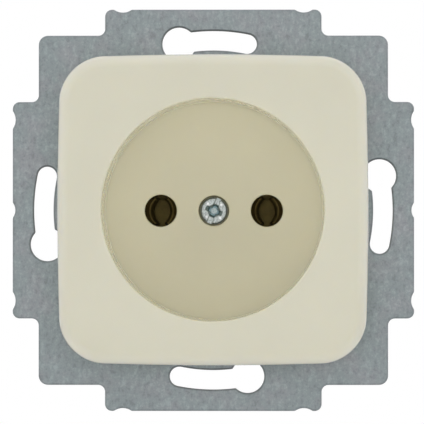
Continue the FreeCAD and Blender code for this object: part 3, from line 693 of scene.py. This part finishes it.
def drive(x, z):
    """Depth of the combined drive below the top of a head, and the marks of its finish. The slot has flat
    walls; the cross has four tapered wings that deepen towards the middle, and a small cone between them.
    Its marks paint shade in the deep drive, less on the dimple at its bottom, and painted glints of white on
    four spots beside the wings."""
    def inside(distance, half):
        return np.clip((half + 0.06 - np.abs(distance)) / 0.12, 0, 1)
    slot = 0.62 * inside(z, 0.47)
    radius = np.hypot(x, z)
    fall = np.clip((1.62 - radius) / 0.75, 0, 1) * 1.25
    wings = np.maximum(inside(z, 0.5), inside(x, 0.42)) * fall
    cone = np.clip((1.15 - radius) / 0.5, 0, 1) * 1.15
    depth = np.maximum(np.maximum(slot, wings), cone)
    dimple = np.clip((0.6 - radius) / 0.12, 0, 1)
    # Painted shade in the deep part of the drive, less on the dimple at its bottom.
    drive_shade = np.clip((depth - 0.66) / 0.35, 0, 1) * (1 - 0.6 * dimple)
    # Painted glints: white spots beside the four wings of the drive.
    painted_glint = np.zeros(radius.shape)
    for turn in np.radians((62, 152, 242, 332)):
        gap = np.hypot(x - 1.68 * math.cos(turn), z - 1.68 * math.sin(turn))
        painted_glint = np.maximum(painted_glint, np.exp(-(gap / 0.2) ** 2))
    return depth, np.where(painted_glint > 0.05, -painted_glint, drive_shade)


def screw_skin(radius, length, head_radius, head_height, pitch, turn, seat, x=0.0, z=0.0, flip=False):
    """Screw: a turned head whose top is lowered by the drive's depth, and a shank whose radius follows a
    helix. Its head lies on the seat and points to -Y, or to +Y when flipped; turn is its slot's angle."""
    top, flat_radius = -head_height, head_radius * 0.86
    radii = np.linspace(0, flat_radius, 52)
    dome = top + 0.12 * (radii / head_radius) ** 2
    edge = rounded([(flat_radius, dome[-1], 0), (head_radius, dome[-1] + 0.06, 0.3), (head_radius, 0, 0.12),
                    (head_radius - 0.35, 0, 0)], 6, 0.03)
    profile = np.concatenate([np.stack([radii, dome], 1), edge[1:]])
    ring = circle(1.0, 288)
    across, along = profile[:, :1] * ring[:, 0], profile[:, :1] * ring[:, 1]
    spots = turned_by(np.stack([across, along], -1), -turn)
    depth, marks = drive(spots[..., 0], spots[..., 1])
    on_top = np.clip(-profile[:, 1:2] / 0.2, 0, 1)
    level = np.minimum(profile[:, 1:2], 0)
    level = np.maximum(level, np.minimum(top + depth, -0.25)) * on_top + level * (1 - on_top)
    # Painted shade on the head's rounded rim, towards the drive's shade colour.
    rim_shade = np.clip((profile[:, :1] / head_radius - 0.88) / 0.1, 0, 1) * 0.3
    head = np.stack([across, level, along], -1)

    sides = 48
    ring = circle(1.0, sides)
    down = np.linspace(0, length, int(length / pitch * 10))[:, None]
    around = np.arange(sides) * 2 * math.pi / sides
    wave = np.abs(((down / pitch - around / (2 * math.pi)) % 1.0) * 2 - 1)
    fade = np.clip((length - down) / 0.9, 0, 1) * np.clip(down / 0.4, 0, 1)
    crest = radius - (1 - fade) * 0.12
    tip = np.clip((down - (length - radius / 2)) / (radius / 2), 0, 1) * radius / 2
    groove = 0.27 * pitch * 2 * (1 - np.clip(wave * 1.15, 0, 1)) * fade
    shank_radius = np.minimum(crest - groove, radius - tip)
    shank = np.stack([shank_radius * ring[:, 0], np.broadcast_to(down, shank_radius.shape),
                      shank_radius * ring[:, 1]], -1)
    closing = np.concatenate([shank[-1:], np.broadcast_to([0.0, length, 0.0], (1, sides, 3))])

    skin = Skin()
    sign = -1.0 if flip else 1.0
    place, turned = np.array([x, seat, z]), np.array([sign, sign, 1.0])
    skin.grid(head * turned + place, mark=np.where((rim_shade > 0) & (depth < 0.3), rim_shade, marks))
    # The shank is marked a little towards the drive's painted shade colour.
    skin.grid(shank * turned + place, mark=0.15)
    skin.grid(closing * turned + place)
    skin.flat([row[:, (0, 2)] * (sign, 1) + (x, z) for row in (head[-1], shank[0])], seat)
    return skin


def contact_sheet():
    """Middle surface of a contact's strip, and its marks. A path runs in the x-y plane from a funnel lip over
    its knee along the leaf, round the web and up to the other lip, and is carried over the strip's height.
    Across the height a leaf is bowed by x = k z^2 / (1 + sqrt(1 - k^2 z^2)), with curvature k fading to the
    web."""
    leaf_end, knee = WEB_FRONT - 0.5, 2.15
    corners = [(2.966, LIP + 0.187, 0), (knee, LIP + 0.91, 0.55), (1.7, LIP + 4.0, 4), (1.7, LIP + 7.5, 6),
               (2.45, leaf_end - 1.2, 4), (2.45, WEB_FRONT + 0.25, 0.75), (0, WEB_FRONT + 0.25, 0)]
    line = rounded(corners, 12)
    run = np.concatenate([[0], np.cumsum(np.hypot(*np.diff(line, axis=0).T))])
    mouth, bend = 2.2, run[-1] - 3.6
    steps = np.concatenate([np.linspace(0, mouth, 24)[:-1], np.linspace(mouth, bend, 30)[:-1],
                            np.linspace(bend, run[-1], 18)])
    path_x, path_y = (np.interp(steps, run, line[:, k])[:, None] for k in (0, 1))
    fade = np.clip((path_y - LIP - 7) / (leaf_end - LIP - 7), 0, 1)
    curve = (1 - fade ** 1.5) / (3.05 + np.clip(path_x - knee, 0, 1))
    z = np.linspace(-LEAF_HALF, LEAF_HALF, 33)
    bow = curve * z ** 2 / (1 + np.sqrt(np.maximum(1 - (curve * z) ** 2, 0)))
    right = np.stack([path_x - bow, np.broadcast_to(path_y, bow.shape), np.broadcast_to(z, bow.shape)], -1)
    # Painted shade in the funnel's mouth and a painted highlight on its knee.
    marks = np.where(path_y < LIP + 0.72, FUNNEL_SHADE, np.where(path_y < LIP + 1.0, KNEE_HIGHLIGHT, 0.0))
    marks = np.broadcast_to(marks, bow.shape)
    left = right[::-1][1:] * (-1, 1, 1)
    return np.concatenate([right, left]), np.concatenate([marks, marks[::-1][1:]])


def contact_skin(side):
    """One contact: the strip's middle surface, thickened later, and bars with pads and threaded collars."""
    middle = side * sizes().pin_spacing / MM / 2
    sheet, marks = contact_sheet()
    strip = Skin()
    strip.grid(sheet + (middle, 0, 0), closed=False, mark=marks)
    plates = Skin()
    for up in (-1, 1):
        corners = [(-1.7, 2.2, 0.05), (-1.7, 8.9, 0.8), (-2.8, 8.9, 0.8), (-2.8, 16.1, 0.8), (4.8, 16.1, 0.8),
                   (4.8, 8.9, 0.8), (1.7, 8.9, 0.8), (1.7, 2.2, 0.05)]
        loop = rounded_loop([(side * (9.5 + x), up * z, r) for x, z, r in corners], 8)
        edge = rounded([(-0.2, WEB_FRONT, 0), (0, WEB_FRONT, 0.08), (0, WEB_BACK, 0.08),
                        (-0.2, WEB_BACK, 0)], 4)
        front, back = plates.carry(loop, edge)
        collar = WEB_FRONT - 1.4
        hole = rounded([(0.3, WEB_FRONT, 0), (0, WEB_FRONT, 0.2), (0, collar, 0.12), (-0.6, collar, 0.1),
                        (-0.6, WEB_BACK, 0.15), (-0.35, WEB_BACK, 0)], 4)
        ring, far_ring = plates.carry(circle(2.4, 64, side * 10.5, up * 12.5), hole)
        plates.flat([front, ring], WEB_FRONT)
        plates.flat([back, far_ring], WEB_BACK)
    return strip, plates


# Operators

class DressPlate(bpy.types.Operator):
    """Makes the cream centre plate with its plug recess"""
    bl_idname = "socket.dress_plate"
    bl_label = "Centre plate"

    def execute(self, context):
        plate_skin().make("plate_moulding", finished(cream_plastic), "plate_plastic", ["centre_plate"])
        return {"FINISHED"}


class DressFrame(bpy.types.Operator):
    """Makes the galvanised steel support frame"""
    bl_idname = "socket.dress_frame"
    bl_label = "Support frame"

    def execute(self, context):
        frame_skin().make("frame_sheet", finished(galvanised_steel), "galvanised_sheet", ["support_frame"])
        return {"FINISHED"}


class DressScrews(bpy.types.Operator):
    """Makes the plate screw, the terminal screws and the cover screw"""
    bl_idname = "socket.dress_screws"
    bl_label = "Screws"

    def execute(self, context):
        zinc = finished(zinc_plate)
        skin = screw_skin(radius=1.5, length=8.3, head_radius=2.4, head_height=1.9, pitch=0.5, turn=112.0,
                          seat=SCREW_SEAT)
        skin.make("plate_screw_zinc", zinc, "zinc_screw", ["plate_screw"])
        for number, (x, z) in enumerate(TERMINALS, 1):
            skin = screw_skin(radius=1.75, length=6.0, head_radius=3.0, head_height=2.0, pitch=0.6,
                              turn=37.0 * number, seat=WEB_BACK + CLAMP_THICKNESS, x=x, z=z, flip=True)
            skin.make(f"terminal_screw_zinc_{number}", zinc, "zinc_screw", [f"terminal_screw_{number}"])
        skin = screw_skin(radius=1.4, length=5.0, head_radius=2.6, head_height=1.5, pitch=1.0, turn=64.0,
                          seat=COVER_SEAT, flip=True)
        skin.make("rear_cover_screw_zinc", zinc, "zinc_screw", ["rear_cover_screw"])
        return {"FINISHED"}


class DressContacts(bpy.types.Operator):
    """Makes the two contact strips with their leaves, bars and pads"""
    bl_idname = "socket.dress_contacts"
    bl_label = "Contacts"

    def execute(self, context):
        bronze = finished(rolled_bronze)
        for name, side in (("left", -1), ("right", 1)):
            strip, plates = contact_skin(side)
            thing = strip.make(f"contact_leaves_{name}", bronze, "contact_bronze", [f"contact_{name}"])
            wall = thing.modifiers.new("strip", "SOLIDIFY")
            wall.thickness = STRIP_THICKNESS * MM
            wall.offset = 0.0
            wall.use_even_offset = True
            edge = thing.modifiers.new("edge", "BEVEL")
            edge.width = 0.1 * MM
            edge.segments = 2
            edge.limit_method = "ANGLE"
            edge.angle_limit = math.radians(50)
            plates.make(f"contact_bars_{name}", bronze, "contact_bronze", [f"contact_{name}"])
        return {"FINISHED"}


class DressClamps(bpy.types.Operator):
    """Makes the clamp plates under the terminal screws"""
    bl_idname = "socket.dress_clamps"
    bl_label = "Terminal clamps"

    def execute(self, context):
        zinc = finished(zinc_plate)
        for number, (x, z) in enumerate(TERMINALS, 1):
            skin = Skin()
            loop = rounded_loop([(x - 3.5, z - 3.3, 0.8), (x + 3.5, z - 3.3, 0.8), (x + 3.5, z + 3.3, 0.8),
                                 (x - 3.5, z + 3.3, 0.8)], 8)
            skin.block(loop, WEB_BACK, WEB_BACK + CLAMP_THICKNESS, 0.1, 0.2, [circle(2.05, 48, x, z)])
            skin.make(f"terminal_clamp_zinc_{number}", zinc, "zinc_screw", [f"terminal_clamp_{number}"])
        return {"FINISHED"}


class DressRivets(bpy.types.Operator):
    """Makes the four rivets between frame and base"""
    bl_idname = "socket.dress_rivets"
    bl_label = "Rivets"

    def execute(self, context):
        zinc = finished(zinc_plate)
        lug_back = SEAT_BACK + 3.0
        for number, (x, z) in enumerate(CORNERS, 1):
            skin = Skin()
            head = [(0, SEAT_FRONT - 0.8, 0), (1.3, SEAT_FRONT - 0.8, 1.2), (2.6, SEAT_FRONT - 0.05, 0.03),
                    (2.6, SEAT_FRONT, 0.03), (1.45, SEAT_FRONT, 0.05), (1.45, lug_back, 0.05),
                    (2.4, lug_back, 0.05), (2.4, lug_back + 0.15, 0.05), (1.7, lug_back + 0.7, 0.3),
                    (0, lug_back + 0.7, 0)]
            skin.turn(rounded(head, 5, 0.0), 64, RIVET * x, RIVET * z)
            skin.make(f"frame_rivet_zinc_{number}", zinc, "zinc_screw", [f"frame_rivet_{number}"])
        return {"FINISHED"}


class DressNut(bpy.types.Operator):
    """Makes the brass insert that takes the plate screw"""
    bl_idname = "socket.dress_nut"
    bl_label = "Brass insert"

    def execute(self, context):
        skin = Skin()
        bore, mouth, outside, waist = 1.55, 1.75, 2.5, 2.1
        front, back = NUT_FRONT, NUT_BACK
        third = (back - front) / 3
        body = [(bore, front + 0.3, 0), (mouth, front, 0.05), (outside, front, 0.2),
                (outside, front + third, 0.1), (waist, front + third, 0.1), (waist, back - third, 0.1),
                (outside, back - third, 0.1), (outside, back, 0.2), (mouth, back, 0.05),
                (bore, back - 0.3, 0), (bore, front + 0.3, 0)]
        skin.turn(rounded(body, 4, 0.0), 96)
        skin.make("plate_nut_brass", finished(turned_brass), "nut_brass", ["plate_nut"])
        return {"FINISHED"}


class DressBase(bpy.types.Operator):
    """Gives the insulating base its moulded finish"""
    bl_idname = "socket.dress_base"
    bl_label = "Base"

    def execute(self, context):
        compound = finished(moulded, "base_compound", tuple(colours().base))
        materials = nodes["socket_base"].data.materials
        materials.clear()
        materials.append(compound)
        return {"FINISHED"}


class DressCover(bpy.types.Operator):
    """Makes the cover over the contacts"""
    bl_idname = "socket.dress_cover"
    bl_label = "Rear cover"

    def execute(self, context):
        compound = finished(moulded, "cover_compound", tuple(colours().cover))
        skin = Skin()
        loop = rounded_loop([(-14.2, -7, 2), (14.2, -7, 2), (14.2, 7, 2), (-14.2, 7, 2)], 12)
        edge = rounded([(-0.2, COVER_FRONT, 0), (0, COVER_FRONT, 0.1), (0, COVER_BACK, 0.5),
                        (-0.6, COVER_BACK, 0)], 5)
        hole = rounded([(-1.0, COVER_FRONT, 0), (-1.2, COVER_FRONT, 0.1), (-1.2, COVER_SEAT, 0.1),
                        (0, COVER_SEAT, 0.15), (0, COVER_BACK, 0.2), (0.25, COVER_BACK, 0)], 5)
        first, last = skin.carry(loop, edge)
        hole_front, hole_back = skin.carry(circle(2.9, 72), hole)
        skin.flat([first, hole_front], COVER_FRONT)
        skin.flat([last, hole_back], COVER_BACK)
        skin.make("rear_cover_moulding", compound, "cover_plastic", ["rear_cover"])
        return {"FINISHED"}


# Lamps: name, place, size and power. One stands behind the camera, three graze the plate from its sides and
# from above, one brightens the floor under it and one lights the back. Polished surfaces don't show them.
LAMPS = (
    ("lamp_front", (0.0, -1.0, 0.005), 0.08, 3.35),
    ("lamp_left", (-0.85, -0.3, 0.1), 0.5, 1.75),
    ("lamp_right", (0.85, -0.3, 0.1), 0.5, 1.65),
    ("lamp_top", (0.0, -0.3, 0.85), 0.5, 1.75),
    ("lamp_floor", (0.0, 0.25, 0.9), 0.5, 2.1),
    ("lamp_back", (0.4, 0.9, 0.5), 0.5, 2.0),
)


class SetStage(bpy.types.Operator):
    """Sets the floor, the soft light and the camera"""
    bl_idname = "socket.set_stage"
    bl_label = "Stage"

    def execute(self, context):
        scene = context.scene
        scene.view_settings.view_transform = "Standard"
        pale_floor()
        studio_world(scene)
        for lamp in LAMPS:
            soft_lamp(*lamp)
        front_camera(scene)
        return {"FINISHED"}


def pale_floor():
    side, behind, level = 2, 0.25, -0.075
    mesh = bpy.data.meshes.new("floor")
    corners = [(-side, -side, level), (side, -side, level), (side, behind, level), (-side, behind, level)]
    mesh.from_pydata(corners, [], [(0, 1, 2, 3)])
    finish = Finish("pale_floor")
    cloud = finish.ramp(finish.noise(3), [(0.3, (0.86, 0.86, 0.86)), (0.7, (0.9, 0.9, 0.9))])
    finish.set(Base_Color=cloud, Roughness=0.7)
    mesh.materials.append(finish.material)
    floor = bpy.data.objects.new("floor", mesh)
    bpy.context.scene.collection.objects.link(floor)


def studio_world(scene):
    """White where the camera or a polished surface looks at it, softer as a light on the object."""
    lighting, seen = 0.23, 1.0
    world = bpy.data.worlds.new("studio")
    scene.world = world
    world.use_nodes = True
    tree = world.node_tree
    tree.nodes.clear()
    node, link = tree.nodes.new, tree.links.new
    path, mix = node("ShaderNodeLightPath"), node("ShaderNodeMixShader")
    share = path.outputs["Is Camera Ray"]
    for ray in ("Is Glossy Ray", "Is Transmission Ray"):
        either = node("ShaderNodeMath")
        either.operation = "MAXIMUM"
        link(share, either.inputs[0])
        link(path.outputs[ray], either.inputs[1])
        share = either.outputs[0]
    link(share, mix.inputs[0])
    for strength, socket in ((lighting, mix.inputs[1]), (seen, mix.inputs[2])):
        light = node("ShaderNodeBackground")
        light.inputs["Color"].default_value = (1, 1, 1, 1)
        light.inputs["Strength"].default_value = strength
        link(light.outputs[0], socket)
    link(mix.outputs[0], node("ShaderNodeOutputWorld").inputs[0])


def soft_lamp(name, spot, size, energy):
    """Square lamp turned to the object, left out of reflections."""
    spot = Vector(spot)
    lamp = bpy.data.lights.new(name, "AREA")
    lamp.shape = "SQUARE"
    lamp.size = size
    lamp.energy = energy
    thing = bpy.data.objects.new(name, lamp)
    thing.location = spot
    thing.rotation_euler = (-spot).to_track_quat("-Z", "Y").to_euler()
    thing.visible_glossy = False
    bpy.context.scene.collection.objects.link(thing)


def front_camera(scene):
    """Long lens straight in front of the recess, a little to its right and a little below it."""
    camera = bpy.data.cameras.new("camera")
    distance, picture_width = 0.70, 0.0751
    camera.sensor_width = 36
    camera.lens = camera.sensor_width * distance / picture_width
    thing = bpy.data.objects.new("camera", camera)
    target = Vector((-0.24 * MM, 0, -0.31 * MM))
    turn, rise = math.radians(0.7), math.radians(-0.62)
    away = Vector((math.sin(turn) * math.cos(rise), -math.cos(turn) * math.cos(rise), math.sin(rise)))
    thing.location = target + away * distance
    thing.rotation_euler = (-away).to_track_quat("-Z", "Y").to_euler()
    scene.collection.objects.link(thing)
    scene.camera = thing


OPERATORS = (DressPlate, DressFrame, DressScrews, DressContacts, DressClamps, DressRivets, DressNut,
             DressBase, DressCover, SetStage)


class SocketPanel(bpy.types.Panel):
    """Lists the settings and the steps"""
    bl_idname = "VIEW3D_PT_socket"
    bl_label = "Wall socket insert"
    bl_space_type = "VIEW_3D"
    bl_region_type = "UI"
    bl_category = "Socket"

    def draw(self, context):
        for group in (context.scene.socket_sizes, context.scene.socket_colours):
            box = self.layout.box()
            for name in group.__annotations__:
                box.prop(group, name)
        for operator in OPERATORS:
            self.layout.operator(operator.bl_idname)


CLASSES = (SocketSizes, SocketColours) + OPERATORS + (SocketPanel,)


def register():
    for kind in CLASSES:
        bpy.utils.register_class(kind)
    bpy.types.Scene.socket_sizes = PointerProperty(type=SocketSizes)
    bpy.types.Scene.socket_colours = PointerProperty(type=SocketColours)


def unregister():
    del bpy.types.Scene.socket_sizes
    del bpy.types.Scene.socket_colours
    for kind in reversed(CLASSES):
        bpy.utils.unregister_class(kind)


def main():
    register()
    for step in ("dress_plate", "dress_frame", "dress_screws", "dress_contacts", "dress_clamps",
                 "dress_rivets", "dress_nut", "dress_base", "dress_cover", "set_stage"):
        getattr(bpy.ops.socket, step)()


if __name__ == "__main__":
    main()
